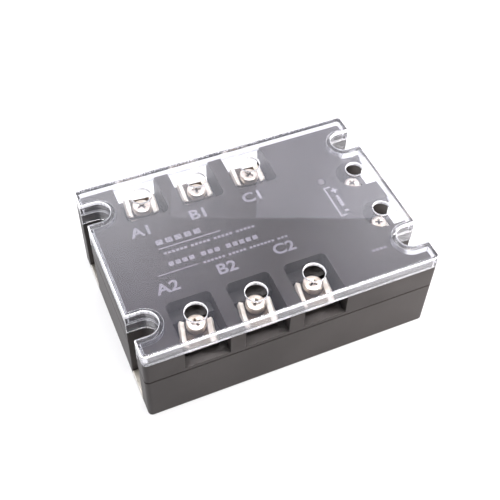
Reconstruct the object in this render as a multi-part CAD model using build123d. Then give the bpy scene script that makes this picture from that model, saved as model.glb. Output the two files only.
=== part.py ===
from build123d import *
import math
import os

# Three-phase solid state relay: a metal base plate, a two-piece dark housing with
# six power bays and two control bays, captive clamp screws, the circuit inside, and
# a clear safety cover that lifts straight off.
#
# Frame: millimetres, +Z up, X along the length with the control terminals at +X,
# row 1 (A1 B1 C1) on the +Y side and row 2 (A2 B2 C2) on the -Y side.
# The origin is the middle of the underside.

# ---- overall ----
length = 105.0
width = 74.5
height = 36.0
corner_r = 1.6

# ---- heights of the layers ----
plate_thick = 3.0
housing_bottom = 0.4
split_z = 20.5
deck_z = 32.5
deck_thick = 2.0
flange_z = 30.8

# ---- clear cover ----
cover_wall = 1.3
cover_top_thick = 1.5
cover_gap = 0.2
cover_top_r = 0.6
cover_inner_r = 1.0
power_hole_d = 7.4
control_hole_d = 6.2

# ---- housing walls ----
wall = 2.0
groove_height = 0.6
groove_depth = 0.5
deck_corner_r = 1.0
end_wall_extra = 1.5

# ---- mounting notches, one near each corner, open at the short ends ----
notch_y = 25.0
notch_r = 4.8
notch_reach = 9.5
collar_wall = 1.4
collar_bottom = 26.0
collar_gap = 0.3
lower_notch_r = 5.2
notch_wall = 1.8
slot_width = 4.5
slot_length = 6.5
slot_x = 47.0
surround_extra = 0.5
collar_floor_gap = 0.3

# ---- power terminals ----
phase_pitch = 20.8
phase_b_x = -10.4
screw_y = 27.0
bay_width = 15.6
bay_back_y = 18.7
bay_floor_z = 22.5
bay_corner_r = 2.0
bar_width = 10.0
bar_thick = 1.5
bar_bottom = 24.3
bar_front_y = 33.6
leg_y = 15.0
ledge_y = 23.2
ledge_top = 26.8
clamp_width = 11.7
clamp_depth = 8.8
clamp_setout = 2.1
clamp_base = 1.1
clamp_wing_run = 2.05
clamp_wing_rise = 1.45
clamp_corner_r = 1.2
power_head_d = 6.8
power_head_h = 3.1
power_thread_d = 4.0
power_screw_length = 8.0
power_nut_flats = 7.0
power_nut_h = 3.2
bar_hole_clear = 0.2
seat_margin = 0.5
seat_setback = 0.4
nut_shaft_clear = 0.6
# each loose clamp has been dragged round a little by its screw, in degrees
clamp_turn = {"a1": -6.0, "b1": -3.0, "c1": -5.0, "a2": -12.0, "b2": -9.0, "c2": -10.0}

# ---- control terminals ----
control_x = 44.8
control_y = 10.3
control_bay_r = 6.3
control_bar_width = 6.0
control_bar_thick = 1.0
control_bar_bottom = 23.6
control_bar_reach = 4.4
control_bend_back = 2.5
control_seat_reach = 4.6
control_pocket_back = 3.3
control_pocket_reach = 6.0
control_clamp = 7.4
control_clamp_base = 0.9
control_wing_run = 0.44
control_wing_rise = 0.76
control_corner_r = 0.6
control_clamp_turn = -4.0
control_head_d = 5.4
control_head_h = 2.4
control_thread_d = 3.0
control_screw_length = 7.0
control_nut_flats = 5.5
control_nut_h = 2.4

# ---- fits ----
thread_clear = 0.05
hole_clear = 0.1
slip = 0.05

# ---- inside ----
board_length = 82.0
board_width = 28.0
board_thick = 1.6
board_bottom = 19.0
board_x = -5.0
board_post_x = (-43.5, 26.0)
board_post_y = 12.0
board_post_r = 1.3
potting_top = 16.0
substrate_x = 17.0
substrate_y = 36.0
substrate_thick = 1.0
die_size = 9.0
die_thick = 0.6
die_y = 6.5
strap_half_width = 3.0
strap_thick = 0.5
gate_pin_x = 7.5
gate_pin_y = 11.5
gate_pin_r = 0.45
gate_pin_past = 0.8
opto_size = (8.8, 6.6, 3.5)
opto_lift = 0.5
opto_pin_pitch = 2.54
opto_pin_width = 1.2
opto_pin_reach = 0.9
capacitor_size = (13.0, 5.0, 8.5)
capacitor_y = -9.0
resistor_y = 9.0
resistor_offset = 2.5
resistor_length = 6.5
resistor_r = 1.2
resistor_cap_r = 1.4
resistor_lead_r = 0.3
resistor_lift = 1.6
regulator_x = 22.0
regulator_y = (-6.0, 4.0)
regulator_body = 3.0
regulator_body_top = 7.5
regulator_tab = 1.3
regulator_tab_top = 9.0
regulator_lift = 0.8
regulator_leg_pitch = 2.54
regulator_leg = (0.6, 0.8)
led_x = 31.9
led_y = 11.0
led_d = 3.0
led_shoulder = 4.0
led_rim = 0.4
led_rim_thick = 1.3
led_dome_drop = 0.5
led_lead_pitch = 2.54
led_lead_r = 0.25
led_lead_past = 0.8
base_screw_x = 21.0
base_screw_y = 31.0
base_screw_d = 2.9
base_screw_head_d = 5.6
base_screw_length = 9.0
base_slot_half = 0.4
base_slot_arm = 2.0
base_slot_depth = 0.8
boss_r = 3.6
boss_top = 13.0
boss_web_half = 1.2

phases = {"a": phase_b_x - phase_pitch, "b": phase_b_x, "c": phase_b_x + phase_pitch}
rows = {"1": 1, "2": -1}
poles = {"plus": 1, "minus": -1}
ends = (-1, 1)

body_top = (length - 2 * (cover_wall + cover_gap), width - 2 * (cover_wall + cover_gap))
notch_centre_x = length / 2 - notch_reach + notch_r
bar_top = bar_bottom + bar_thick
control_bar_top = control_bar_bottom + control_bar_thick
board_top = board_bottom + board_thick
cavity_half_x = length / 2 - wall
cavity_half_y = width / 2 - wall
inside_left = -length / 2 + wall + end_wall_extra
inside_right = control_x - control_bay_r - wall
inside_y = bay_back_y - wall
plate_gap = 0.1
inside_top = deck_z - deck_thick
cos_30 = math.cos(math.radians(30))
past_edge = 2.0


def block(x0, x1, y0, y1, z0, z1):
    """A box between the given planes."""
    middle = Location(((x0 + x1) / 2, (y0 + y1) / 2, (z0 + z1) / 2))
    return middle * Box(abs(x1 - x0), abs(y1 - y0), abs(z1 - z0))


def rounded_block(size_x, size_y, z0, z1, r):
    """A box centred on the Z axis with rounded upright edges."""
    return extrude(Plane.XY.offset(z0) * RectangleRounded(size_x, size_y, r), z1 - z0)


def post(x, y, r, z0, z1):
    """An upright cylinder."""
    return Location((x, y, (z0 + z1) / 2)) * Cylinder(r, z1 - z0)


def hexagon(x, y, flats, z0, z1, turn):
    """An upright hexagonal prism: flats face along X at a turn of 30 and along Y at 0."""
    outline = RegularPolygon(flats / 2, 6, major_radius=False, rotation=turn)
    return extrude(Plane.XY.offset(z0) * Location((x, y)) * outline, z1 - z0)


def end_notch(end, side, r, z0, z1, past=past_edge):
    """The space of one U-shaped notch that is open at a short end."""
    round_end = post(end * notch_centre_x, side * notch_y, r, z0, z1)
    straight = block(end * notch_centre_x, end * (length / 2 + past),
                     side * notch_y - r, side * notch_y + r, z0, z1)
    return round_end + straight


def all_notches(r, z0, z1):
    """The four notches as one tool."""
    tools = [end_notch(end, side, r, z0, z1) for end in ends for side in rows.values()]
    return tools[0] + tools[1:]


def power_bay(x, side):
    """The space of one power bay, open at the top and at the long side."""
    depth = width / 2 + 2 * past_edge - bay_back_y
    middle_y = side * (bay_back_y + depth / 2)
    outline = Location((x, middle_y)) * RectangleRounded(bay_width, depth, bay_corner_r)
    return extrude(Plane.XY.offset(bay_floor_z) * outline, height - bay_floor_z)


def control_bay(side):
    """The space of one control bay, round behind its screw and open at the +X end."""
    round_end = post(control_x, side * control_y, control_bay_r, bay_floor_z, height)
    straight = block(control_x, length / 2 + past_edge, side * control_y - control_bay_r,
                     side * control_y + control_bay_r, bay_floor_z, height)
    return round_end + straight


def save(shape, node):
    """Write one node's solids, named after the node."""
    shape.label = node
    export_step(shape, f"parts/{node}.step")


# ---------------------------------------------------------------- base plate
def base_plate():
    """The heat-spreading plate with four closed slots and four countersunk holes."""
    half_x = cavity_half_x - plate_gap
    half_y = cavity_half_y - plate_gap
    plate = block(-half_x, half_x, -half_y, half_y, 0, plate_thick)
    ear = lower_notch_r - plate_gap
    for end in ends:
        for side in rows.values():
            plate += block(0, end * length / 2, side * notch_y - ear, side * notch_y + ear,
                           0, plate_thick)
    for end in ends:
        for side in rows.values():
            spot = Location((end * slot_x, side * notch_y))
            plate -= extrude(spot * SlotOverall(slot_length, slot_width), plate_thick)
            plate -= post(end * base_screw_x, side * base_screw_y,
                          base_screw_d / 2 + hole_clear, 0, plate_thick)
            plate -= base_screw_cone(end * base_screw_x, side * base_screw_y, slip)
    return plate


def base_screw_cone(x, y, extra):
    """The countersunk head of one base screw, or its seat when extra is added."""
    head_r = base_screw_head_d / 2 + extra
    tip_r = base_screw_d / 2 + extra
    depth = head_r - tip_r
    return Location((x, y, depth / 2)) * Cone(head_r, tip_r, depth)


def base_screws():
    """Four countersunk screws that hold the plate to the housing bosses."""
    screws = []
    for end in ends:
        for side in rows.values():
            x = end * base_screw_x
            y = side * base_screw_y
            screw = base_screw_cone(x, y, 0)
            screw += post(x, y, base_screw_d / 2, 0, base_screw_length)
            screw -= block(x - base_slot_arm, x + base_slot_arm,
                           y - base_slot_half, y + base_slot_half, 0, base_slot_depth)
            screw -= block(x - base_slot_half, x + base_slot_half,
                           y - base_slot_arm, y + base_slot_arm, 0, base_slot_depth)
            screws.append(screw)
    return Compound(children=screws)


# ---------------------------------------------------------------- housing
def notch_surround(z0, z1):
    """Material round all four notches, before the notches are cut."""
    r = lower_notch_r + notch_wall
    inner = length / 2 - notch_reach - notch_wall - surround_extra
    shapes = []
    for end in ends:
        for side in rows.values():
            shapes.append(block(end * inner, end * length / 2,
                                side * notch_y - r, side * notch_y + r, z0, z1))
    return shapes


def base_bosses():
    """Four bosses that take the base screws."""
    spots = [(end * base_screw_x, side * base_screw_y) for end in ends for side in rows.values()]
    return [post(x, y, boss_r, plate_thick, boss_top) for x, y in spots]


def lower_housing():
    """The tub below the parting line, open at the top and closed below by the plate."""
    tub = rounded_block(length, width, housing_bottom, split_z, corner_r)
    tub -= block(-cavity_half_x, cavity_half_x, -cavity_half_y, cavity_half_y,
                 housing_bottom, split_z)
    for surround in notch_surround(plate_thick, split_z):
        tub += surround
    for boss in base_bosses():
        tub += boss
    for end in ends:
        for side in rows.values():
            # a web ties each boss to the long wall
            x = end * base_screw_x
            tub += block(x - boss_web_half, x + boss_web_half, side * base_screw_y,
                         side * (cavity_half_y + wall / 2), plate_thick, boss_top)
            tub -= post(x, side * base_screw_y, base_screw_d / 2 + thread_clear,
                        plate_thick, base_screw_length + 1)
    tub -= all_notches(lower_notch_r, 0, split_z)
    return tub


def terminal_seat(x, side):
    """A pedestal on a bay floor that carries the terminal bar."""
    half = bar_width / 2 + seat_margin
    return block(x - half, x + half, side * (bay_back_y - seat_margin),
                 side * (bar_front_y - seat_setback), bay_floor_z, bar_bottom)


def bar_ledge(x, side):
    """The ledge across a bay that covers the terminal bar behind its clamp."""
    half = bay_width / 2
    return block(x - half, x + half, side * (bay_back_y - seat_margin), side * ledge_y,
                 bay_floor_z, ledge_top)


def nut_pocket(x, side):
    """The pocket under a terminal bar that holds its nut."""
    half = power_nut_flats / 2 + slip
    nut_bottom = bar_bottom - power_nut_h
    reach = power_nut_flats / 2 / cos_30 + slip
    pocket = block(x - half, x + half, side * (screw_y - reach), side * (screw_y + reach),
                   nut_bottom, bar_bottom)
    return pocket + post(x, side * screw_y, power_thread_d / 2 + nut_shaft_clear,
                         split_z, bar_bottom)


def upper_housing():
    """The terminal deck above the parting line with all its bays."""
    deck = rounded_block(length, width, split_z, flange_z, corner_r)
    deck += rounded_block(body_top[0], body_top[1], flange_z, deck_z, deck_corner_r)
    # a shallow groove runs round the parting line
    deck -= (rounded_block(length, width, split_z, split_z + groove_height, corner_r)
             - rounded_block(length - 2 * groove_depth, width - 2 * groove_depth,
                             split_z, split_z + groove_height, corner_r - groove_depth))
    # the room for the circuit, open below, with four posts that locate the board
    deck -= block(inside_left, inside_right, -inside_y, inside_y, split_z, inside_top)
    for x in board_post_x:
        for side in rows.values():
            deck += post(x, side * board_post_y, board_post_r, board_top, inside_top)
    for side in rows.values():
        # hollows beside the outer bays keep the walls even
        deck -= block(phases["c"] + bay_width / 2 + wall, inside_right,
                      side * (bay_back_y + wall), side * (cavity_half_y - wall / 2),
                      split_z, inside_top)
        for x in phases.values():
            deck -= power_bay(x, side)
        deck -= control_bay(side)
    for side in rows.values():
        for x in phases.values():
            deck += terminal_seat(x, side)
            deck += bar_ledge(x, side)
            deck -= nut_pocket(x, side)
            half = bar_width / 2 + slip
            deck -= block(x - half, x + half, side * (leg_y - wall / 2), side * ledge_y,
                          bar_bottom - slip, bar_top + slip)
    for side in poles.values():
        half = control_bar_width / 2
        y = side * control_y
        deck += block(control_x - control_bay_r - seat_margin, control_x + control_seat_reach,
                      y - half - seat_margin, y + half + seat_margin,
                      bay_floor_z, control_bar_bottom)
        pocket = control_nut_flats / 2 + slip
        deck -= block(control_x - control_pocket_back, control_x + control_pocket_reach,
                      y - pocket, y + pocket,
                      control_bar_bottom - control_nut_h, control_bar_bottom)
        deck -= post(control_x, y, control_thread_d / 2 + nut_shaft_clear,
                     split_z, control_bar_bottom)
        deck -= block(inside_right - wall / 2, control_x, y - half - slip, y + half + slip,
                      control_bar_bottom - slip, control_bar_top + slip)
    deck -= all_notches(lower_notch_r, split_z, deck_z)
    deck -= all_notches(notch_r + collar_wall + collar_gap,
                        collar_bottom - collar_floor_gap, deck_z)
    deck -= post(led_x, led_y, led_d / 2 + slip, inside_top, deck_z)
    return deck


def clear_cover():
    """The lift-off safety cover with collars that drop into the notches."""
    cover = rounded_block(length, width, flange_z, height, corner_r)
    top_edges = cover.faces().sort_by(Axis.Z)[-1].edges()
    cover = fillet(top_edges, cover_top_r)
    cover -= rounded_block(length - 2 * cover_wall, width - 2 * cover_wall, flange_z,
                           height - cover_top_thick, cover_inner_r)
    collar_r = notch_r + collar_wall
    for end in ends:
        for side in rows.values():
            cover += end_notch(end, side, collar_r, collar_bottom,
                               height - cover_top_thick, past=0.0)
    cover -= all_notches(notch_r, collar_bottom, height)
    for side in rows.values():
        for x in phases.values():
            cover -= post(x, side * screw_y, power_hole_d / 2, flange_z, height)
        cover -= post(control_x, side * control_y, control_hole_d / 2, flange_z, height)
    return cover


# ---------------------------------------------------------------- terminals
def terminal_bar(x, side):
    """A bent copper strip from the bay down to the power stage."""
    half = bar_width / 2
    bar = block(x - half, x + half, side * leg_y, side * bar_front_y, bar_bottom, bar_top)
    bar += block(x - half, x + half, side * leg_y, side * (leg_y + bar_thick),
                 plate_thick + substrate_thick, bar_bottom)
    bar -= post(x, side * screw_y, power_thread_d / 2 + bar_hole_clear, bar_bottom, bar_top)
    return bar


def saddle(x, y, size, base, wing, corner_radius, bottom, bore_r, turn, setout):
    """A clamp washer stamped from strip, its two long edges bent up and outwards.

    It turns about its bore, which lies the setout away from its middle.
    """
    half = size[0] / 2
    run, rise = wing
    tilt = math.atan2(rise, run)
    # one half of the section, from the middle out to the wing's tip and back
    right = [(half - run, 0), (half, rise),
             (half - base * math.sin(tilt), rise + base * math.cos(tilt)),
             (half - run - base * math.tan(tilt / 2), base)]
    left = [(-across, up) for across, up in reversed(right)]
    section = Plane.XZ.offset(-size[1] / 2) * make_face(Polyline(*right, *left, close=True))
    strip = extrude(section, size[1])
    outline = rounded_block(size[0], size[1], 0, rise + base, corner_radius)
    plate = Location((0, setout, 0)) * (strip & outline) - post(0, 0, bore_r, 0, base)
    return Location((x, y, bottom), (0, 0, turn)) * plate


def cross_screw(x, y, head_bottom, head_d, head_h, thread_d, screw_length):
    """A cheese-head machine screw with a cross recess."""
    head = post(x, y, head_d / 2, head_bottom, head_bottom + head_h)
    head = fillet(head.faces().sort_by(Axis.Z)[-1].edges(), head_h * 0.22)
    top = head_bottom + head_h
    arm = head_d * 0.29
    blade = head_d * 0.075
    depth = head_h * 0.55
    head -= block(x - arm, x + arm, y - blade, y + blade, top - depth, top)
    head -= block(x - blade, x + blade, y - arm, y + arm, top - depth, top)
    shank = post(x, y, thread_d / 2, head_bottom - screw_length, head_bottom)
    shank = chamfer(shank.faces().sort_by(Axis.Z)[0].edges(), thread_d * 0.12)
    return head + shank


def hex_nut(x, y, flats, nut_h, top, thread_d, turn):
    """A hexagonal nut under a terminal bar."""
    nut = hexagon(x, y, flats, top - nut_h, top, turn)
    return nut - post(x, y, thread_d / 2 + thread_clear, top - nut_h, top)


def control_terminal(side):
    """A bent strip from a control bay to the circuit board."""
    half = control_bar_width / 2
    y = side * control_y
    bend_x = inside_right - control_bend_back
    bar = block(bend_x, control_x + control_bar_reach, y - half, y + half,
                control_bar_bottom, control_bar_top)
    bar += block(bend_x, bend_x + control_bar_thick, y - half, y + half,
                 board_top, control_bar_bottom)
    bar -= post(control_x, y, control_thread_d / 2 + bar_hole_clear,
                control_bar_bottom, control_bar_top)
    return bar


# ---------------------------------------------------------------- power stage
def substrate(x):
    """An insulating ceramic tile that carries one phase."""
    z0 = plate_thick
    return block(x - substrate_x / 2, x + substrate_x / 2, -substrate_y / 2, substrate_y / 2,
                 z0, z0 + substrate_thick)


def thyristor_die(x, side):
    """One of the two silicon chips of a phase."""
    z0 = plate_thick + substrate_thick
    half = die_size / 2
    return block(x - half, x + half, side * die_y - half, side * die_y + half, z0, z0 + die_thick)


def die_strap(x, side):
    """A copper strap from a chip to the foot of its terminal bar."""
    z0 = plate_thick + substrate_thick
    strap_z = z0 + die_thick
    return block(x - strap_half_width, x + strap_half_width, side * die_y, side * leg_y,
                 strap_z, strap_z + strap_thick)


def gate_pin(x, side):
    """An upright pin from a phase's ceramic tile up through the circuit board."""
    return post(x + gate_pin_x, side * gate_pin_y, gate_pin_r,
                plate_thick + substrate_thick, board_top + gate_pin_past)


def potting_compound(inner_solids):
    """The compound that fills the tub round the power stage."""
    fill = block(-cavity_half_x, cavity_half_x, -cavity_half_y, cavity_half_y,
                 plate_thick, potting_top)
    fill -= notch_surround(plate_thick, potting_top)
    fill -= base_bosses()
    fill -= [block(end * base_screw_x - boss_web_half, end * base_screw_x + boss_web_half,
                   side * base_screw_y, side * cavity_half_y, plate_thick, boss_top)
             for end in ends for side in rows.values()]
    return fill - inner_solids


# ---------------------------------------------------------------- circuit board
def circuit_board():
    """The board under the deck, with holes for the component leads."""
    board = block(board_x - board_length / 2, board_x + board_length / 2,
                  -board_width / 2, board_width / 2, board_bottom, board_top)
    for x in phases.values():
        for side in rows.values():
            board -= post(x + gate_pin_x, side * gate_pin_y, gate_pin_r + hole_clear,
                          board_bottom, board_top)
    for end in ends:
        board -= post(led_x + end * led_lead_pitch / 2, led_y, led_lead_r + hole_clear,
                      board_bottom, board_top)
    return board


def optocoupler(x):
    """A six-pin optocoupler of one phase."""
    half_x = opto_size[0] / 2
    half_y = opto_size[1] / 2
    bottom = board_top + opto_lift
    body = block(x - half_x, x + half_x, -half_y, half_y, bottom, bottom + opto_size[2])
    body = chamfer(body.edges().filter_by(Axis.X).group_by(Axis.Z)[-1], opto_lift)
    for step in (-1, 0, 1):
        pin_x = x + step * opto_pin_pitch
        for side in ends:
            body += block(pin_x - opto_pin_width / 2, pin_x + opto_pin_width / 2,
                          side * (half_y - hole_clear), side * (half_y + opto_pin_reach),
                          board_top, bottom + opto_size[2] / 2)
    return body


def snubber_capacitor(x):
    """A film capacitor of one phase's snubber."""
    half_x = capacitor_size[0] / 2
    half_y = capacitor_size[1] / 2
    body = block(x - half_x, x + half_x, capacitor_y - half_y, capacitor_y + half_y,
                 board_top, board_top + capacitor_size[2])
    return fillet(body.edges().filter_by(Axis.Z), opto_lift)


def lying_rod(x, y, z, r, rod_length):
    """A rod that lies along Y."""
    return Location((x, y, z), (90, 0, 0)) * Cylinder(r, rod_length)


def gate_resistor(x, offset):
    """A power resistor lying beside an optocoupler."""
    axis_z = board_top + resistor_lift
    rod_x = x + offset
    body = lying_rod(rod_x, resistor_y, axis_z, resistor_r, resistor_length)
    lead_reach = resistor_length / 2 + 1.0
    body += lying_rod(rod_x, resistor_y, axis_z, resistor_lead_r, 2 * lead_reach)
    for side in ends:
        body += lying_rod(rod_x, resistor_y + side * (resistor_length / 2 - resistor_r / 2),
                          axis_z, resistor_cap_r, resistor_r)
        body += post(rod_x, resistor_y + side * lead_reach, resistor_lead_r,
                     board_top, axis_z + resistor_lead_r)
    return body


def input_regulator():
    """The constant-current regulator of the control side."""
    low_y, high_y = regulator_y
    bottom = board_top + regulator_lift
    tab_x = regulator_x + regulator_body
    body = block(regulator_x, tab_x, low_y, high_y, bottom, board_top + regulator_body_top)
    tab = block(tab_x, tab_x + regulator_tab, low_y, high_y, bottom,
                board_top + regulator_tab_top)
    leg_x = regulator_x + regulator_body / 2
    leg_half_x = regulator_leg[0] / 2
    leg_half_y = regulator_leg[1] / 2
    middle_y = (low_y + high_y) / 2
    legs = [block(leg_x - leg_half_x, leg_x + leg_half_x, y - leg_half_y, y + leg_half_y,
                  board_top, bottom)
            for y in (middle_y - regulator_leg_pitch, middle_y, middle_y + regulator_leg_pitch)]
    return tab + body + legs


def status_led():
    """The control-input lamp whose lens shows through the deck."""
    dome_z = deck_z - led_dome_drop
    rim_top = inside_top - hole_clear
    lens = post(led_x, led_y, led_d / 2, deck_z - led_shoulder, dome_z)
    lens += Location((led_x, led_y, dome_z)) * Sphere(led_d / 2)
    lens += post(led_x, led_y, led_d / 2 + led_rim, rim_top - led_rim_thick, rim_top)
    for end in ends:
        lens += post(led_x + end * led_lead_pitch / 2, led_y, led_lead_r,
                     board_bottom - led_lead_past, rim_top - led_rim_thick)
    return lens


os.makedirs("parts", exist_ok=True)

save(base_plate(), "base_plate")
save(base_screws(), "base_screws")
save(lower_housing(), "lower_housing")
save(upper_housing(), "upper_housing")
save(clear_cover(), "clear_cover")
save(circuit_board(), "circuit_board")
save(input_regulator(), "input_regulator")
save(status_led(), "status_led")

embedded = []
for phase, x in phases.items():
    tile = substrate(x)
    embedded.append(tile)
    save(tile, f"ceramic_substrate_{phase}")
    save(optocoupler(x), f"optocoupler_{phase}")
    save(snubber_capacitor(x), f"snubber_capacitor_{phase}")
    for row, side in rows.items():
        name = phase + row
        y = side * screw_y
        bar = terminal_bar(x, side)
        die = thyristor_die(x, side)
        strap = die_strap(x, side)
        embedded += [bar, die, strap]
        save(bar, f"terminal_bar_{name}")
        save(die, f"thyristor_die_{name}")
        save(strap, f"die_strap_{name}")
        save(saddle(x, y, (clamp_width, clamp_depth), clamp_base,
                    (clamp_wing_run, clamp_wing_rise), clamp_corner_r, bar_top,
                    power_thread_d / 2 + hole_clear, clamp_turn[name], side * clamp_setout),
             f"clamp_washer_{name}")
        save(cross_screw(x, y, bar_top + clamp_base, power_head_d, power_head_h,
                         power_thread_d, power_screw_length), f"terminal_screw_{name}")

power_nuts = [hex_nut(x, side * screw_y, power_nut_flats, power_nut_h, bar_bottom,
                      power_thread_d, 30) for x in phases.values() for side in rows.values()]
save(Compound(children=power_nuts), "terminal_nuts")
pins = [gate_pin(x, side) for x in phases.values() for side in rows.values()]
embedded += pins
save(Compound(children=pins), "gate_pins")
resistors = [gate_resistor(x, end * resistor_offset) for x in phases.values() for end in ends]
save(Compound(children=resistors), "gate_resistors")
save(potting_compound(embedded), "potting_compound")

control_nuts = []
for pole, side in poles.items():
    y = side * control_y
    save(control_terminal(side), f"control_terminal_{pole}")
    save(saddle(control_x, y, (control_clamp, control_clamp), control_clamp_base,
                (control_wing_run, control_wing_rise), control_corner_r, control_bar_top,
                control_thread_d / 2 + hole_clear, control_clamp_turn, 0),
         f"control_clamp_{pole}")
    save(cross_screw(control_x, y, control_bar_top + control_clamp_base, control_head_d,
                     control_head_h, control_thread_d, control_screw_length),
         f"control_screw_{pole}")
    control_nuts.append(hex_nut(control_x, y, control_nut_flats, control_nut_h,
                                control_bar_bottom, control_thread_d, 0))
save(Compound(children=control_nuts), "control_nuts")
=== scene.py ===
"""Three-phase solid state relay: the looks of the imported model.

Metres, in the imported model's own frame: +X along the length towards the control
terminals, +Y towards the row of terminals numbered 1, +Z up, underside on the floor.
"""
import math

import bmesh
import bpy
from mathutils import Matrix, Vector


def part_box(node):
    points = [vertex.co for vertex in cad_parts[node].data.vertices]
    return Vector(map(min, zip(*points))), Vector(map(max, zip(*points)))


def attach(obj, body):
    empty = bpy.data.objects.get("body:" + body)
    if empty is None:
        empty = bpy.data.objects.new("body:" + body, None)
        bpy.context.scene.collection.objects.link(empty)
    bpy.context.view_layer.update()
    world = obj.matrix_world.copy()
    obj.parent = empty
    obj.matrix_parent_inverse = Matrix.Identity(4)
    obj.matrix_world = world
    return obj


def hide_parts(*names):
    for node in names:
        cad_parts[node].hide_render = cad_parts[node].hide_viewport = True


MM = 0.001
SMOOTH_BELOW = math.radians(30)  # faces that meet at less than this shade as one
ROUNDED_ABOVE = math.radians(35)  # edges that turn more than this are rounded
TURNED_STEPS = 64  # flats round a turned solid
TINY = 1e-7  # metres, for points that should be one

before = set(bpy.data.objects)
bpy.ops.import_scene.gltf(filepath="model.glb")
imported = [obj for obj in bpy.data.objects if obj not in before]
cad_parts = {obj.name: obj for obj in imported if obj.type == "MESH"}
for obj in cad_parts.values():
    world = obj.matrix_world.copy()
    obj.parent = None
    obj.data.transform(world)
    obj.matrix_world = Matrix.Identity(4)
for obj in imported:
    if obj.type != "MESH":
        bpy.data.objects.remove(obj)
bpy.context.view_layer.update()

PHASES = ("a", "b", "c")
ROWS = ("1", "2")
POLES = ("plus", "minus")


# ------------------------------------------------------------------ helpers
def linear(code):
    """An sRGB hex colour as linear values, fully opaque."""
    parts = [int(code[i:i + 2], 16) / 255 for i in (1, 3, 5)]
    return [c / 12.92 if c <= 0.04045 else ((c + 0.055) / 1.055) ** 2.4 for c in parts] + [1.0]


def add(tree, kind, inputs=None, links=None, **settings):
    """Add one node, with its settings, input values and links."""
    made = tree.nodes.new(kind)
    for key, value in settings.items():
        setattr(made, key, value)
    for key, value in (inputs or {}).items():
        made.inputs[key].default_value = value
    for key, source in (links or {}).items():
        tree.links.new(source, made.inputs[key])
    return made


def ramp(tree, source, low, high, at):
    """A colour that runs from low to high while a value passes between two points."""
    made = add(tree, "ShaderNodeValToRGB", links={"Fac": source})
    for stop, place, colour in zip(made.color_ramp.elements, at, (low, high)):
        stop.position = place
        stop.color = colour
    return made.outputs["Color"]


def blank(name):
    """A new material with an empty node tree, and its object coordinates."""
    material = bpy.data.materials.new(name)
    material.use_nodes = True
    tree = material.node_tree
    tree.nodes.clear()
    place = add(tree, "ShaderNodeTexCoord").outputs["Object"]
    return material, tree, place


def finish_material(tree, shader):
    """Join the shader to the material's output."""
    add(tree, "ShaderNodeOutputMaterial", links={"Surface": shader.outputs[0]})


def box_of(node):
    """A node's lowest and highest corners."""
    low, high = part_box(node)
    return Vector(low), Vector(high)


def to_object(bm, name, material):
    """Turn a bmesh into an object at the origin with smooth faces and sharp edges."""
    bmesh.ops.remove_doubles(bm, verts=bm.verts, dist=TINY)
    bmesh.ops.recalc_face_normals(bm, faces=bm.faces)
    mesh = bpy.data.meshes.new(name)
    bm.to_mesh(mesh)
    bm.free()
    mesh.shade_smooth()
    mesh.set_sharp_from_angle(angle=SMOOTH_BELOW)
    mesh.materials.append(material)
    piece = bpy.data.objects.new(name, mesh)
    bpy.context.scene.collection.objects.link(piece)
    return piece


def apply_modifiers(piece):
    """Bake a piece's modifiers into its mesh."""
    bpy.context.view_layer.update()
    graph = bpy.context.evaluated_depsgraph_get()
    mesh = bpy.data.meshes.new_from_object(piece.evaluated_get(graph))
    piece.modifiers.clear()
    piece.data = mesh
    return piece


def cut(piece, cutter):
    """Subtract one piece from another and drop the cutter."""
    step = piece.modifiers.new("cut", "BOOLEAN")
    step.operation = "DIFFERENCE"
    step.solver = "EXACT"
    step.object = cutter
    apply_modifiers(piece)
    bpy.data.objects.remove(cutter)


def placed(master, name, matrix):
    """A copy of a finished piece with its place in its mesh."""
    mesh = master.data.copy()
    mesh.name = name
    mesh.transform(matrix)
    piece = bpy.data.objects.new(name, mesh)
    bpy.context.scene.collection.objects.link(piece)
    return piece


def round_edges(piece, width, segments=2):
    """A live bevel on the sharp edges of a piece."""
    bevel = piece.modifiers.new("edge", "BEVEL")
    bevel.width = width
    bevel.segments = segments
    bevel.limit_method = "ANGLE"
    bevel.angle_limit = ROUNDED_ABOVE
    bevel.harden_normals = True
    return piece


def stand_in(piece, node, body):
    """The piece takes a CAD node's place and moves with its body."""
    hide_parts(node)
    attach(piece, body)


def eased(node, body, material, width, segments=2):
    """A copy of a CAD node with its sharp edges rounded, in the node's place."""
    bm = bmesh.new()
    bm.from_mesh(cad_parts[node].data)
    bmesh.ops.remove_doubles(bm, verts=bm.verts, dist=1e-6)
    bmesh.ops.dissolve_limit(bm, angle_limit=math.radians(1.0), verts=bm.verts, edges=bm.edges)
    piece = to_object(bm, f"{node}_eased", material)
    stand_in(round_edges(piece, width, segments), node, body)


def turned(profile):
    """A solid turned about Z from a profile of (radius, height) in millimetres."""
    bm = bmesh.new()
    verts = [bm.verts.new((r * MM, 0, z * MM)) for r, z in profile]
    edges = [bm.edges.new(pair) for pair in zip(verts, verts[1:])]
    bmesh.ops.spin(bm, geom=verts + edges, cent=(0, 0, 0), axis=(0, 0, 1),
                   angle=math.tau, steps=TURNED_STEPS, use_merge=True)
    bmesh.ops.remove_doubles(bm, verts=bm.verts, dist=TINY)
    return bm


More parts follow.
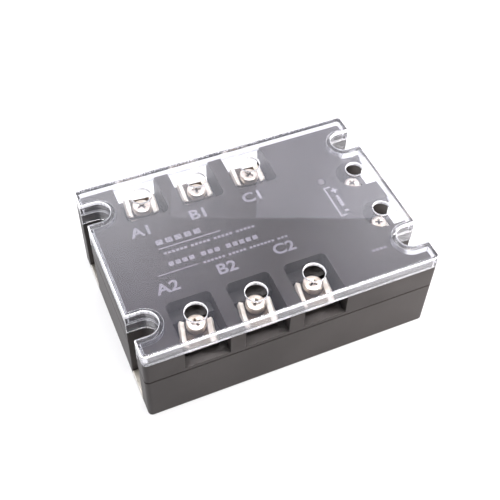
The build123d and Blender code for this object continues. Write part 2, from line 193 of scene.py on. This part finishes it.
# ---------------------------------------------------------------- materials
def housing_plastic():
    """Glass-filled PBT, injection moulded in a spark-eroded mould.

    Near black and warm, with a fine matte grain and very slight flow shading.
    """
    material, tree, place = blank("moulded_pbt_spark_texture")
    flow = add(tree, "ShaderNodeTexNoise", {"Scale": 1 / (22 * MM), "Detail": 3.0},
               {"Vector": place})
    colour = ramp(tree, flow.outputs["Fac"], linear("#322e2d"), linear("#393534"), (0.35, 0.65))
    # spark texture: the real grains are under 0.1 mm, drawn 0.3 mm wide so that they show
    grain = add(tree, "ShaderNodeTexNoise", {"Scale": 1 / (0.3 * MM), "Detail": 2.0},
                {"Vector": place})
    sheen = add(tree, "ShaderNodeMapRange", {"To Min": 0.38, "To Max": 0.52},
                {"Value": grain.outputs["Fac"]})
    soft = add(tree, "ShaderNodeBevel", {"Radius": 0.25 * MM}, samples=4)
    bump = add(tree, "ShaderNodeBump", {"Strength": 0.05, "Distance": 0.01 * MM},
               {"Height": grain.outputs["Fac"], "Normal": soft.outputs["Normal"]})
    # painted shade: sheltered faces, such as the insides of the bays, are painted a shade
    # darker
    shelter = add(tree, "ShaderNodeAmbientOcclusion", {"Distance": 7 * MM}, samples=8,
                  only_local=True)
    painted_shade_factor = add(tree, "ShaderNodeMapRange", {"From Min": 0.45, "From Max": 0.97},
                 {"Value": shelter.outputs["AO"]})
    colour = add(tree, "ShaderNodeMix", {"A": linear("#171413")}, {
        "Factor": painted_shade_factor.outputs["Result"], "B": colour},
        data_type="RGBA").outputs["Result"]
    shader = add(tree, "ShaderNodeBsdfPrincipled", {"IOR": 1.5, "Specular IOR Level": 0.2},
                 {"Base Color": colour, "Roughness": sheen.outputs["Result"],
                  "Normal": bump.outputs["Normal"]})
    finish_material(tree, shader)
    return material


# how milky the cover's walls are at heights from the floor, in millimetres: most at the skirt's
# lower edge and at the rounded edge of the top, where the milk is painted highlight for light
# carried through the clear wall
WALL_MILK_AND_GLOW = ((30.6, 0.05), (30.8, 0.60), (31.1, 0.60), (31.4, 0.05), (35.4, 0.06), (36.0, 1.00))
MILK_FROM = 26.0
COVER_TOP = 36.0
TOP_UNDERSIDE = 34.4
INSIDE_SKIRT = 36.0  # millimetres each way from the middle, across the relay
# painted highlight: the hole walls are made milky so that the holes' rims show bright
BORE_MILK_AND_GLOW = 0.6


def clear_polycarbonate():
    """Polycarbonate, injection moulded: polished faces, drafted sides left finely matte.

    The top is water clear and glossy with the long shallow ripples that moulding
    Side walls are faintly milky from their matte draft. Hole walls, rounded edges and the
    skirt's lower edge are made more milky so they catch the light: painted highlight for light
    the clear walls carry to their edges.
    """
    material, tree, place = blank("moulded_clear_polycarbonate")
    ripple = add(tree, "ShaderNodeTexNoise", {"Scale": 1 / (18 * MM), "Detail": 1.0},
                 {"Vector": place})
    bump = add(tree, "ShaderNodeBump", {"Strength": 0.10, "Distance": 0.05 * MM},
               {"Height": ripple.outputs["Fac"]})
    # how upright a face is: 0 on the flat top, 1 on walls and on rounded edges
    facing = add(tree, "ShaderNodeSeparateXYZ", links={
        "Vector": add(tree, "ShaderNodeNewGeometry").outputs["Normal"]})
    level = add(tree, "ShaderNodeMath", links={0: facing.outputs["Z"]}, operation="ABSOLUTE")
    upright = add(tree, "ShaderNodeMapRange",
                  {"From Min": 0.985, "From Max": 0.80, "To Min": 0.0, "To Max": 1.0},
                  {"Value": level.outputs["Value"]})
    # drag marks from ejection: streaks 0.4 mm apart that run up the walls
    stretch = add(tree, "ShaderNodeMapping", {"Scale": (1 / (0.4 * MM), 1 / (0.4 * MM), 40)},
                  {"Vector": place})
    streak = add(tree, "ShaderNodeTexNoise", {"Scale": 1.0, "Detail": 2.0},
                 {"Vector": stretch.outputs["Vector"]})
    milk = add(tree, "ShaderNodeMapRange",
               {"From Min": 0.3, "From Max": 0.7, "To Min": 0.6, "To Max": 1.4},
               {"Value": streak.outputs["Fac"]})
    # the walls' milk by height: a faint matte draft, with painted highlight bands at the edges
    spot = add(tree, "ShaderNodeSeparateXYZ", links={"Vector": place})
    height = add(tree, "ShaderNodeMapRange",
                 {"From Min": MILK_FROM * MM, "From Max": COVER_TOP * MM},
                 {"Value": spot.outputs["Z"]})
    rims = add(tree, "ShaderNodeValToRGB", links={"Fac": height.outputs["Result"]})
    stops = rims.color_ramp.elements
    while len(stops) < len(WALL_MILK_AND_GLOW):
        stops.new(1.0)
    for stop, (level_mm, amount) in zip(stops, WALL_MILK_AND_GLOW):
        stop.position = (level_mm - MILK_FROM) / (COVER_TOP - MILK_FROM)
        stop.color = (amount, amount, amount, 1)
    # the walls of the driver holes: inside the skirt, above the underside of the top. Their
    # milk is painted highlight for the holes' bright rims
    sideways = add(tree, "ShaderNodeMath", links={0: spot.outputs["Y"]}, operation="ABSOLUTE")
    across = add(tree, "ShaderNodeMath", {1: INSIDE_SKIRT * MM},
                 {0: sideways.outputs["Value"]}, operation="LESS_THAN")
    inside = add(tree, "ShaderNodeMath", {1: TOP_UNDERSIDE * MM}, {0: spot.outputs["Z"]},
                 operation="GREATER_THAN")
    bores = add(tree, "ShaderNodeMath",
                links={0: across.outputs["Value"], 1: inside.outputs["Value"]},
                operation="MULTIPLY")
    edges = add(tree, "ShaderNodeMath", {1: BORE_MILK_AND_GLOW},
                {0: bores.outputs["Value"], 2: rims.outputs["Color"]},
                operation="MULTIPLY_ADD")
    streaked = add(tree, "ShaderNodeMath",
                   links={0: edges.outputs["Value"], 1: milk.outputs["Result"]},
                   operation="MULTIPLY", use_clamp=True)
    cloud = add(tree, "ShaderNodeMath",
                links={0: upright.outputs["Result"], 1: streaked.outputs["Value"]},
                operation="MULTIPLY")
    clear = add(tree, "ShaderNodeMapRange", {"To Min": 1.0, "To Max": 0.0},
                {"Value": cloud.outputs["Value"]})
    rough = add(tree, "ShaderNodeMapRange", {"To Min": 0.015, "To Max": 0.16},
                {"Value": upright.outputs["Result"]})
    shader = add(tree, "ShaderNodeBsdfPrincipled",
                 {"Base Color": linear("#fafaff"), "IOR": 1.58},
                 {"Normal": bump.outputs["Normal"], "Roughness": rough.outputs["Result"],
                  "Transmission Weight": clear.outputs["Result"]})
    finish_material(tree, shader)
    return material


def plated(name, light, dark, rough, grain_mm, bump_mm, seat_mm=None):
    """Plated metal: a tumbled or rolled surface under a thin bright plate.

    Its crevices are darkened as painted shade. If a seat height is given, the plate below it is
    painted dark brown instead, as painted shade under the screw head, and rubbed matte and pale
    above it.
    """
    material, tree, place = blank(name)
    cloud = add(tree, "ShaderNodeTexNoise", {"Scale": 1 / (2.5 * MM), "Detail": 4.0},
                {"Vector": place})
    colour = ramp(tree, cloud.outputs["Fac"], linear(dark), linear(light), (0.3, 0.7))
    grain = add(tree, "ShaderNodeTexNoise", {"Scale": 1 / (grain_mm * MM), "Detail": 3.0},
                {"Vector": place})
    spread = add(tree, "ShaderNodeMapRange", {"To Min": rough * 0.75, "To Max": rough * 1.3},
                 {"Value": grain.outputs["Fac"]})
    bump = add(tree, "ShaderNodeBump", {"Strength": 0.5, "Distance": bump_mm * MM},
               {"Height": grain.outputs["Fac"]})
    shader = add(tree, "ShaderNodeBsdfPrincipled", {"Metallic": 1.0},
                 {"Roughness": spread.outputs["Result"], "Normal": bump.outputs["Normal"]})
    if seat_mm:
        # painted shade: below the seat the plate is painted dark brown, for the shade under the
        # screw head and between the ears
        spot = add(tree, "ShaderNodeSeparateXYZ", links={"Vector": place})
        unshaded = add(tree, "ShaderNodeMapRange",
                    {"From Min": (seat_mm + 0.05) * MM, "From Max": (seat_mm + 0.3) * MM},
                    {"Value": spot.outputs["Z"]})
        painted_shade_colour = linear("#4c4137")
        metal = add(tree, "ShaderNodeMapRange", {"To Min": 1.0, "To Max": 0.2},
                    {"Value": unshaded.outputs["Result"]})
        tree.links.new(metal.outputs["Result"], shader.inputs["Metallic"])
    else:
        # painted shade: crevices are painted dark where little light reaches them
        shelter = add(tree, "ShaderNodeAmbientOcclusion", {"Distance": 1.8 * MM}, samples=8)
        unshaded = add(tree, "ShaderNodeMapRange", {"From Min": 0.40, "From Max": 0.85},
                    {"Value": shelter.outputs["AO"]})
        painted_shade_colour = linear("#2c241e")
    with_painted_shade = add(tree, "ShaderNodeMix", {"A": painted_shade_colour},
               {"Factor": unshaded.outputs["Result"], "B": colour}, data_type="RGBA")
    tree.links.new(with_painted_shade.outputs["Result"], shader.inputs["Base Color"])
    finish_material(tree, shader)
    return material


def plain(name, light, dark, rough, cloud_mm, ior=1.5, bump_mm=0.0, **inputs):
    """A non-metal with slight colour clouds and grain at a real size."""
    material, tree, place = blank(name)
    cloud = add(tree, "ShaderNodeTexNoise", {"Scale": 1 / (cloud_mm * MM), "Detail": 4.0},
                {"Vector": place})
    colour = ramp(tree, cloud.outputs["Fac"], linear(dark), linear(light), (0.3, 0.7))
    bump = add(tree, "ShaderNodeBump", {"Strength": 0.5, "Distance": bump_mm * MM},
               {"Height": cloud.outputs["Fac"]})
    values = {"Roughness": rough, "IOR": ior}
    values.update(inputs)
    shader = add(tree, "ShaderNodeBsdfPrincipled", values,
                 {"Base Color": colour, "Normal": bump.outputs["Normal"]})
    finish_material(tree, shader)
    return material


housing = housing_plastic()
cover_clear = clear_polycarbonate()
# matte barrel nickel over stamped steel: warm and softly bright. The seat is the height
# of a clamp's flat middle above the floor, in millimetres
POWER_SEAT = 26.9
CONTROL_SEAT = 25.5
clamp_nickel = plated("barrel_nickel_stamped_steel", "#fbf5ea", "#d8ccbc", 0.42, 0.45, 0.05,
                      POWER_SEAT)
small_clamp_nickel = plated("barrel_nickel_small_stamping", "#fbf5ea", "#d8ccbc", 0.42, 0.45,
                            0.05, CONTROL_SEAT)
# barrel nickel over turned steel: a little darker and smoother than the clamps
screw_nickel = plated("barrel_nickel_turned_steel", "#e6dccf", "#a79a8b", 0.30, 0.35, 0.03)
# nickel over sprung steel: grey-brown and half matte
spring_steel = plated("nickelled_spring_steel", "#cfc4b6", "#a3978a", 0.34, 0.3, 0.012)
# matte tin over copper: pale and soft, with no mirror
bar_tin = plated("matte_tin_on_copper", "#cfc6bb", "#a99e92", 0.42, 0.4, 0.015)
# nickel over rolled copper: an even pale satin
plate_nickel = plated("nickelled_rolled_copper", "#d8d4cc", "#bcb7ad", 0.30, 0.8, 0.01)
# zinc plate over steel: bright and slightly blue
nut_zinc = plated("zinc_plated_steel", "#d5d8dc", "#aeb4bd", 0.30, 0.3, 0.008)
# rolled copper, left bare: orange-brown with a soft shine
copper = plated("rolled_copper", "#d98f68", "#b06a46", 0.30, 0.4, 0.006)
# polished silicon: a dark blue-grey mirror
silicon = plain("polished_silicon", "#3a3f4a", "#2b2f38", 0.12, 4.0, 2.5)
# sintered alumina: chalky off-white
ceramic = plain("sintered_alumina", "#e6e4de", "#d9d6cf", 0.5, 2.0, 1.7, 0.004)
# silicone cast in place: soft black, slightly wavy
potting = plain("cast_silicone_compound", "#2d2d30", "#232326", 0.38, 6.0, 1.45, 0.05)
# moulded epoxy: black with a fine matte grain
epoxy = plain("moulded_epoxy_package", "#1d1d1f", "#161618", 0.45, 0.4, 1.55, 0.008)
# a moulded plastic box: glossy blue
film_box = plain("boxed_film_capacitor", "#2d4f9a", "#264488", 0.3, 3.0, 1.5, 0.01)
# dipped lacquer: pale blue-green and glossy
lacquer = plain("resistor_lacquer", "#8fa9b4", "#7f99a5", 0.28, 2.0, 1.5, 0.01)
# printed solder mask over glass laminate: glossy green
solder_mask = plain("solder_mask_on_laminate", "#1f5c33", "#184a29", 0.3, 1.2, 1.5, 0.01)
# a lens cast in smoky clear epoxy: glossy and half see-through
lens = plain("smoked_cast_epoxy_lens", "#6b6265", "#5c5456", 0.12, 2.0, 1.55, 0.0,
             **{"Transmission Weight": 0.5})
# pad-printing ink: pale grey, matte and slightly thin in places
ink = plain("pad_printed_ink", "#85828b", "#6c6970", 0.55, 0.5, 1.5, 0.01)
thick_ink = plain("thick_pad_printed_ink", "#a29fa6", "#88858c", 0.55, 0.5, 1.5, 0.01)
faint_ink = plain("thin_pad_printed_ink", "#838089", "#6a676e", 0.55, 0.5, 1.5, 0.01)

# ------------------------------------------------------------ housing pieces
eased("upper_housing", "relay", housing, 0.25 * MM)
eased("lower_housing", "relay", housing, 0.25 * MM)
eased("base_plate", "relay", plate_nickel, 0.2 * MM)
eased("clear_cover", "cover", cover_clear, 0.25 * MM, 3)


# ------------------------------------------------------------------- screws
# a cross recess against its head's radius and height, and its floor against its mouth
RECESS_REACH = 0.60
RECESS_HALF_WIDTH = 0.155
RECESS_DEPTH = 0.62
RECESS_FLOOR = (0.42, 0.62, 1.0)
CUTTER_PROUD = 0.5  # millimetres that the recess cutter stands above the head


def tapered_arm(name, reach, half_width, top, depth):
    """One bar of a cross recess: it narrows and shortens towards its bottom."""
    bm = bmesh.new()
    bmesh.ops.create_cube(bm, size=1.0)
    tall = depth + CUTTER_PROUD
    bmesh.ops.transform(bm, verts=bm.verts, matrix=(
        Matrix.Translation((0, 0, (top - depth / 2 + CUTTER_PROUD / 2) * MM))
        @ Matrix.Diagonal((2 * reach * MM, 2 * half_width * MM, tall * MM, 1))))
    low = [v for v in bm.verts if v.co.z < (top - depth / 2) * MM]
    bmesh.ops.scale(bm, verts=low, vec=RECESS_FLOOR)
    return to_object(bm, name, screw_nickel)


def screw_master(name, head_r, head_h, ring_h, thread_r, pitch, shank):
    """A cheese-head screw with a cross recess, in millimetres.

    The thread is cut as grooves. Zero height is the bottom of the spring washer under
    the head, which fills the height of ring_h.
    """
    root_r = thread_r - 0.55 * pitch
    profile = [(0, -shank), (root_r - 0.2, -shank)]
    z = -shank + 0.3
    while z < -2.2 * pitch:
        profile += [(root_r, z), (thread_r, z + pitch / 2)]
        z += pitch
    profile += [(root_r, z), (root_r, -0.2), (root_r, ring_h), (head_r, ring_h),
                (head_r, head_h), (head_r * 0.55, head_h + 0.05), (0, head_h + 0.06)]
    bm = turned(profile)
    on_rim = [e for e in bm.edges
              if all(abs(v.co.xy.length - head_r * MM) < 10 * TINY for v in e.verts)]
    rim = [e for e in on_rim if abs(e.verts[0].co.z - e.verts[1].co.z) < TINY]
    top = [e for e in rim if e.verts[0].co.z > (head_h - 0.1) * MM]
    bottom = [e for e in rim if e.verts[0].co.z < (ring_h + 0.1) * MM]
    bmesh.ops.bevel(bm, geom=top, offset=0.16 * head_r * MM, offset_type="OFFSET",
                    affect="EDGES", segments=5, profile=0.5, material=-1)
    bmesh.ops.bevel(bm, geom=bottom, offset=0.08 * MM, offset_type="OFFSET",
                    affect="EDGES", segments=2, profile=0.5, material=-1)
    master = to_object(bm, name, screw_nickel)
    for turn in (0, 90):
        arm = tapered_arm(f"{name}_arm", RECESS_REACH * head_r, RECESS_HALF_WIDTH * head_r,
                          head_h, RECESS_DEPTH * head_h)
        arm.data.transform(Matrix.Rotation(math.radians(turn), 4, "Z"))
        cut(master, arm)
    return master


RING_STEPS = 48
RING_SWEEP = math.radians(347)  # the rest of the turn is the split


def spring_ring(name, inner, outer, thick, rise):
    """A split spring washer on zero height, whose far end has risen, in millimetres."""
    bm = bmesh.new()
    corners = [bm.verts.new((r * MM, 0, z * MM))
               for r, z in ((inner, 0), (outer, 0), (outer, thick), (inner, thick))]
    loop = [bm.edges.new((corners[i], corners[(i + 1) % 4])) for i in range(4)]
    bmesh.ops.spin(bm, geom=corners + loop, cent=(0, 0, 0), axis=(0, 0, 1),
                   dvec=(0, 0, rise / RING_STEPS * MM), angle=RING_SWEEP, steps=RING_STEPS)
    open_ends = [e for e in bm.edges if e.is_boundary]
    bmesh.ops.holes_fill(bm, edges=open_ends, sides=4)
    master = to_object(bm, name, spring_steel)
    return apply_modifiers(round_edges(master, 0.1 * MM))


power_screw = screw_master("power_screw_master", head_r=3.4, head_h=3.02, ring_h=0.92,
                           thread_r=2.0, pitch=0.7, shank=8.0)
control_screw = screw_master("control_screw_master", head_r=2.7, head_h=2.33, ring_h=0.68,
                             thread_r=1.5, pitch=0.5, shank=7.0)
power_ring = spring_ring("power_ring_master", inner=1.75, outer=3.25, thick=0.74, rise=0.12)
control_ring = spring_ring("control_ring_master", inner=1.3, outer=2.5, thick=0.55, rise=0.08)
# millimetres from the top of a screw's CAD node down to the seat of its washer
POWER_STACK = 3.1
CONTROL_STACK = 2.4

# how each screw came to rest, in degrees
SCREW_TURN = {"a1": 24, "b1": -12, "c1": 38, "a2": 10, "b2": 52, "c2": 30,
              "plus": 20, "minus": 66}


def fit_screw(tag, node, screw, ring, stack):
    """Put a screw and its spring washer in the place of a CAD screw."""
    low, high = box_of(node)
    middle = (low + high) / 2
    body = f"screw_{tag}"
    spot = Matrix.Translation((middle.x, middle.y, high.z - stack * MM))
    turn = Matrix.Rotation(math.radians(SCREW_TURN[tag]), 4, "Z")
    stand_in(placed(screw, f"{node}_turned", spot @ turn), node, body)
    washer = placed(ring, f"spring_washer_{tag}", spot @ turn)
    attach(washer, body)


for phase in PHASES:
    for row in ROWS:
        tag = phase + row
        fit_screw(tag, f"terminal_screw_{tag}", power_screw, power_ring, POWER_STACK)
        eased(f"clamp_washer_{tag}", f"clamp_{tag}", clamp_nickel, 0.18 * MM, 3)
        eased(f"terminal_bar_{tag}", "relay", bar_tin, 0.2 * MM)
for pole in POLES:
    fit_screw(pole, f"control_screw_{pole}", control_screw, control_ring, CONTROL_STACK)
    eased(f"control_clamp_{pole}", f"clamp_{pole}", small_clamp_nickel, 0.15 * MM, 3)
    eased(f"control_terminal_{pole}", "relay", bar_tin, 0.15 * MM)
eased("terminal_nuts", "relay", nut_zinc, 0.25 * MM)
eased("control_nuts", "relay", nut_zinc, 0.2 * MM)
for master in (power_screw, control_screw, power_ring, control_ring):
    bpy.data.objects.remove(master)

# ------------------------------------------------------------ printed marks
DECK = box_of("upper_housing")[1].z
PRINT_THICK = 0.03 * MM
STROKE_SPREAD = 0.15 * MM  # how far the ink spreads past a letter's outline
CAPITAL_SHARE = 0.70  # a capital's height against the size of its font
BLOCK_SHARE = 0.72  # a block's length against its cell
WORD_GAP = 0.7  # the gap between words against a cell


def lettering(name, words, x, y, tall, stretch=1.0, paint=ink):
    """Raised print of a terminal number or sign, centred on a point of the deck."""
    curve = bpy.data.curves.new(name, "FONT")
    curve.body = words
    curve.size = tall * MM / CAPITAL_SHARE
    curve.align_x = "CENTER"
    curve.align_y = "CENTER"
    curve.extrude = PRINT_THICK / 2
    curve.offset = STROKE_SPREAD
    writer = bpy.data.objects.new(f"{name}_curve", curve)
    bpy.context.scene.collection.objects.link(writer)
    bpy.context.view_layer.update()
    mesh = bpy.data.meshes.new_from_object(
        writer.evaluated_get(bpy.context.evaluated_depsgraph_get()))
    bpy.data.objects.remove(writer)
    mesh.transform(Matrix.Translation((x * MM, y * MM, DECK + PRINT_THICK / 2))
                   @ Matrix.Diagonal((stretch, 1, 1, 1)))
    bm = bmesh.new()
    bm.from_mesh(mesh)
    piece = to_object(bm, name, paint)
    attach(piece, "relay")


def print_bars(name, bars, paint=faint_ink):
    """Print made of short straight bars, each given as x, y, length, height."""
    bm = bmesh.new()
    for x, y, across, up in bars:
        made = bmesh.ops.create_cube(bm, size=1.0)
        bmesh.ops.transform(bm, verts=made["verts"], matrix=(
            Matrix.Translation((x * MM, y * MM, DECK + PRINT_THICK / 2))
            @ Matrix.Diagonal((across * MM, up * MM, PRINT_THICK, 1))))
    piece = to_object(bm, name, paint)
    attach(piece, "relay")


def word_row(x, y, words, cell, tall):
    """Plain blocks in word-like groups, in place of a line of wording."""
    bars = []
    for count in words:
        for _ in range(count):
            bars.append((x + cell * BLOCK_SHARE / 2, y, cell * BLOCK_SHARE, tall))
            x += cell
        x += cell * WORD_GAP
    return bars


# where the terminal numbers stand on the deck, in millimetres
MARKS = {"A2": (-35.5, -12.9), "B2": (-14.6, -12.5), "C2": (6.6, -11.9),
         "A1": (-35.7, 13.0), "B1": (-14.6, 13.3), "C1": (6.2, 13.7)}
for words, (x, y) in MARKS.items():
    lettering(f"terminal_number_{words}", words, x, y, tall=4.2, stretch=1.12)

# lines of blocks and thin rules: where each starts, blocks in each word, cell, height
print_bars("nameplate_blocks", word_row(-33.0, 6.2, (5,), 3.4, 2.2)
           + [(-21.8, 3.4, 22.5, 0.45)]
           + word_row(-32.0, 0.9, (6, 5, 5, 5), 1.45, 1.0)
           + word_row(-32.0, -3.9, (4, 3, 5), 2.45, 1.8)
           + [(-30.0, -7.3, 14.0, 0.35)] + word_row(-21.0, -7.5, (6, 5, 7, 3), 1.35, 0.9))
# the bracket that joins the two control terminals, with its signs and a short column
print_bars("input_bracket", [(32.4, 7.6, 2.6, 0.6), (32.4, -6.4, 2.6, 0.6),
                             (31.4, 0.6, 0.6, 14.4)], thick_ink)
lettering("input_plus", "+", 34.4, 5.3, 3.4, paint=thick_ink)
lettering("input_minus", "-", 34.4, -4.2, 3.4, paint=thick_ink)
print_bars("input_voltage_blocks", [(34.2, y, 1.3, 0.8) for y in (2.6, 1.5, 0.4, -0.7, -1.8)],
           thick_ink)
print_bars("corner_blocks", word_row(33.6, -24.6, (4,), 1.5, 0.9))

# ---------------------------------------------------- materials of the nodes
NODE_MATERIALS = {
    "base_screws": screw_nickel, "circuit_board": solder_mask, "input_regulator": epoxy,
    "status_led": lens, "ceramic_substrate": ceramic, "optocoupler": epoxy,
    "snubber_capacitor": film_box, "terminal_bar": bar_tin, "thyristor_die": silicon,
    "die_strap": copper, "terminal_nuts": nut_zinc, "gate_resistors": lacquer,
    "gate_pins": bar_tin, "potting_compound": potting, "control_terminal": bar_tin,
    "control_nuts": nut_zinc, "clamp_washer": clamp_nickel, "control_clamp": small_clamp_nickel,
    "terminal_screw": screw_nickel, "control_screw": screw_nickel,
    "upper_housing": housing, "lower_housing": housing, "base_plate": plate_nickel,
    "clear_cover": cover_clear,
}
for node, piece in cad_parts.items():
    material = next(m for start, m in NODE_MATERIALS.items() if node.startswith(start))
    piece.data.materials.clear()
    piece.data.materials.append(material)

# ----------------------------------------------------------------- the stage
FLOOR_HALF = 1.5
floor_mesh = bmesh.new()
bmesh.ops.create_grid(floor_mesh, x_segments=1, y_segments=1, size=FLOOR_HALF)
# white acrylic lit from below: even and matte, nearly white
floor_paint = plain("back_lit_white_acrylic", "#808082", "#7e7e80", 0.9, 40.0,
                    **{"Emission Color": linear("#ffffff"), "Emission Strength": 0.62})
floor = to_object(floor_mesh, "floor", floor_paint)

world = bpy.data.worlds.new("studio")
bpy.context.scene.world = world
world.use_nodes = True
sky = world.node_tree
background = sky.nodes["Background"]
# a white room with a dimmer ceiling
way = add(sky, "ShaderNodeSeparateXYZ", links={
    "Vector": add(sky, "ShaderNodeTexCoord").outputs["Generated"]})
shade = ramp(sky, way.outputs["Z"], linear("#f8f8ff"), linear("#94939e"), (0.73, 0.83))
sky.links.new(shade, background.inputs["Color"])
# it is dim towards -Y
front = add(sky, "ShaderNodeMapRange",
            {"From Min": -0.9, "From Max": -0.2, "To Min": 0.35, "To Max": 1.15},
            {"Value": way.outputs["Y"]})
# behind the relay the room brightens towards both sides of a dim gap
left = add(sky, "ShaderNodeMapRange", {"From Min": 0.29, "From Max": 0.13, "To Max": 1.8},
           {"Value": way.outputs["X"]})
skew = add(sky, "ShaderNodeMath", links={0: way.outputs["X"], 1: way.outputs["Y"]},
           operation="SUBTRACT")
right = add(sky, "ShaderNodeMapRange", {"From Min": -0.25, "From Max": -0.12, "To Max": 1.15},
            {"Value": skew.outputs["Value"]})
both = add(sky, "ShaderNodeMath",
           links={0: left.outputs["Result"], 1: right.outputs["Result"]}, operation="ADD")
behind = add(sky, "ShaderNodeMapRange", {"From Min": 0.40, "From Max": 0.47},
             {"Value": way.outputs["Y"]})
total = add(sky, "ShaderNodeMath",
            links={0: both.outputs["Value"], 1: behind.outputs["Result"],
                   2: front.outputs["Result"]}, operation="MULTIPLY_ADD")
sky.links.new(total.outputs["Value"], background.inputs["Strength"])


def softbox(name, place, aim, size, power, tint="#ffffff", mirrored=True):
    """A rectangular soft light that faces a point, and may show in glossy faces."""
    lamp = bpy.data.lights.new(name, "AREA")
    lamp.shape = "RECTANGLE"
    lamp.size, lamp.size_y = size
    lamp.energy = power
    lamp.color = linear(tint)[:3]
    holder = bpy.data.objects.new(name, lamp)
    holder.location = place
    holder.rotation_euler = (Vector(aim) - Vector(place)).to_track_quat("-Z", "Y").to_euler()
    holder.visible_glossy = mirrored
    bpy.context.scene.collection.objects.link(holder)
    return holder


def back_panel(name, corner, along, down, width, drop, power, tint):
    """A lit panel behind the relay: its top edge starts at a corner and runs along."""
    side = Vector(along).normalized()
    fall = Vector(down).normalized()
    lamp = softbox(name, (0, 0, 0), (0, 0, -1), (width, drop), power, tint)
    face = side.cross(fall)
    turn = Matrix((side, fall, face)).transposed().to_4x4()
    middle = Vector(corner) + side * width / 2 + fall * drop / 2
    lamp.matrix_world = Matrix.Translation(middle) @ turn


# the way the back panels' top edges run, and the way the panels hang down from them
EDGE = (0.913, -0.403, -0.02)
FALL = (0.290, 0.706, -0.6435)
back_panel("back_panel_main", corner=(0.260, 0.541, 0.710), along=EDGE, down=FALL,
           width=1.1, drop=0.8, power=2.0, tint="#f2f0ff")
back_panel("back_panel_side", corner=(0.150, 0.587, 0.712), along=EDGE, down=FALL,
           width=1.2, drop=0.8, power=1.2, tint="#f4f2ff")
softbox("overhead", place=(0.05, -0.01, 0.75), aim=(0.05, -0.011, 0.03), size=(0.7, 0.55),
        power=14.0, tint="#fffdfa")
softbox("front_right", place=(0.15, -0.11, 0.07), aim=(0.045, -0.037, 0.01), size=(0.1, 0.1),
        power=0.52, tint="#fffaf6", mirrored=False)

# ---------------------------------------------------------------- the camera
AIM = Vector((0.7, 2.8, 18.0)) * MM
DISTANCE = 306.2 * MM
AZIMUTH = math.radians(-24.96)
ELEVATION = math.radians(50.8)
ROLL = math.radians(2.15)
SENSOR = 36.0
FOCAL = 61.02

eye_way = Vector((math.sin(AZIMUTH) * math.cos(ELEVATION),
                  -math.cos(AZIMUTH) * math.cos(ELEVATION), math.sin(ELEVATION)))
camera_data = bpy.data.cameras.new("camera")
camera_data.sensor_width = SENSOR
camera_data.lens = FOCAL
camera = bpy.data.objects.new("camera", camera_data)
level = eye_way.to_track_quat("Z", "Y").to_matrix().to_4x4()
camera.matrix_world = (Matrix.Translation(AIM + eye_way * DISTANCE) @ level
                       @ Matrix.Rotation(ROLL, 4, "Z"))
bpy.context.scene.collection.objects.link(camera)
bpy.context.scene.camera = camera

scene = bpy.context.scene
scene.view_settings.view_transform = "Standard"
scene.cycles.max_bounces = 16
scene.cycles.transmission_bounces = 12
scene.cycles.transparent_max_bounces = 12
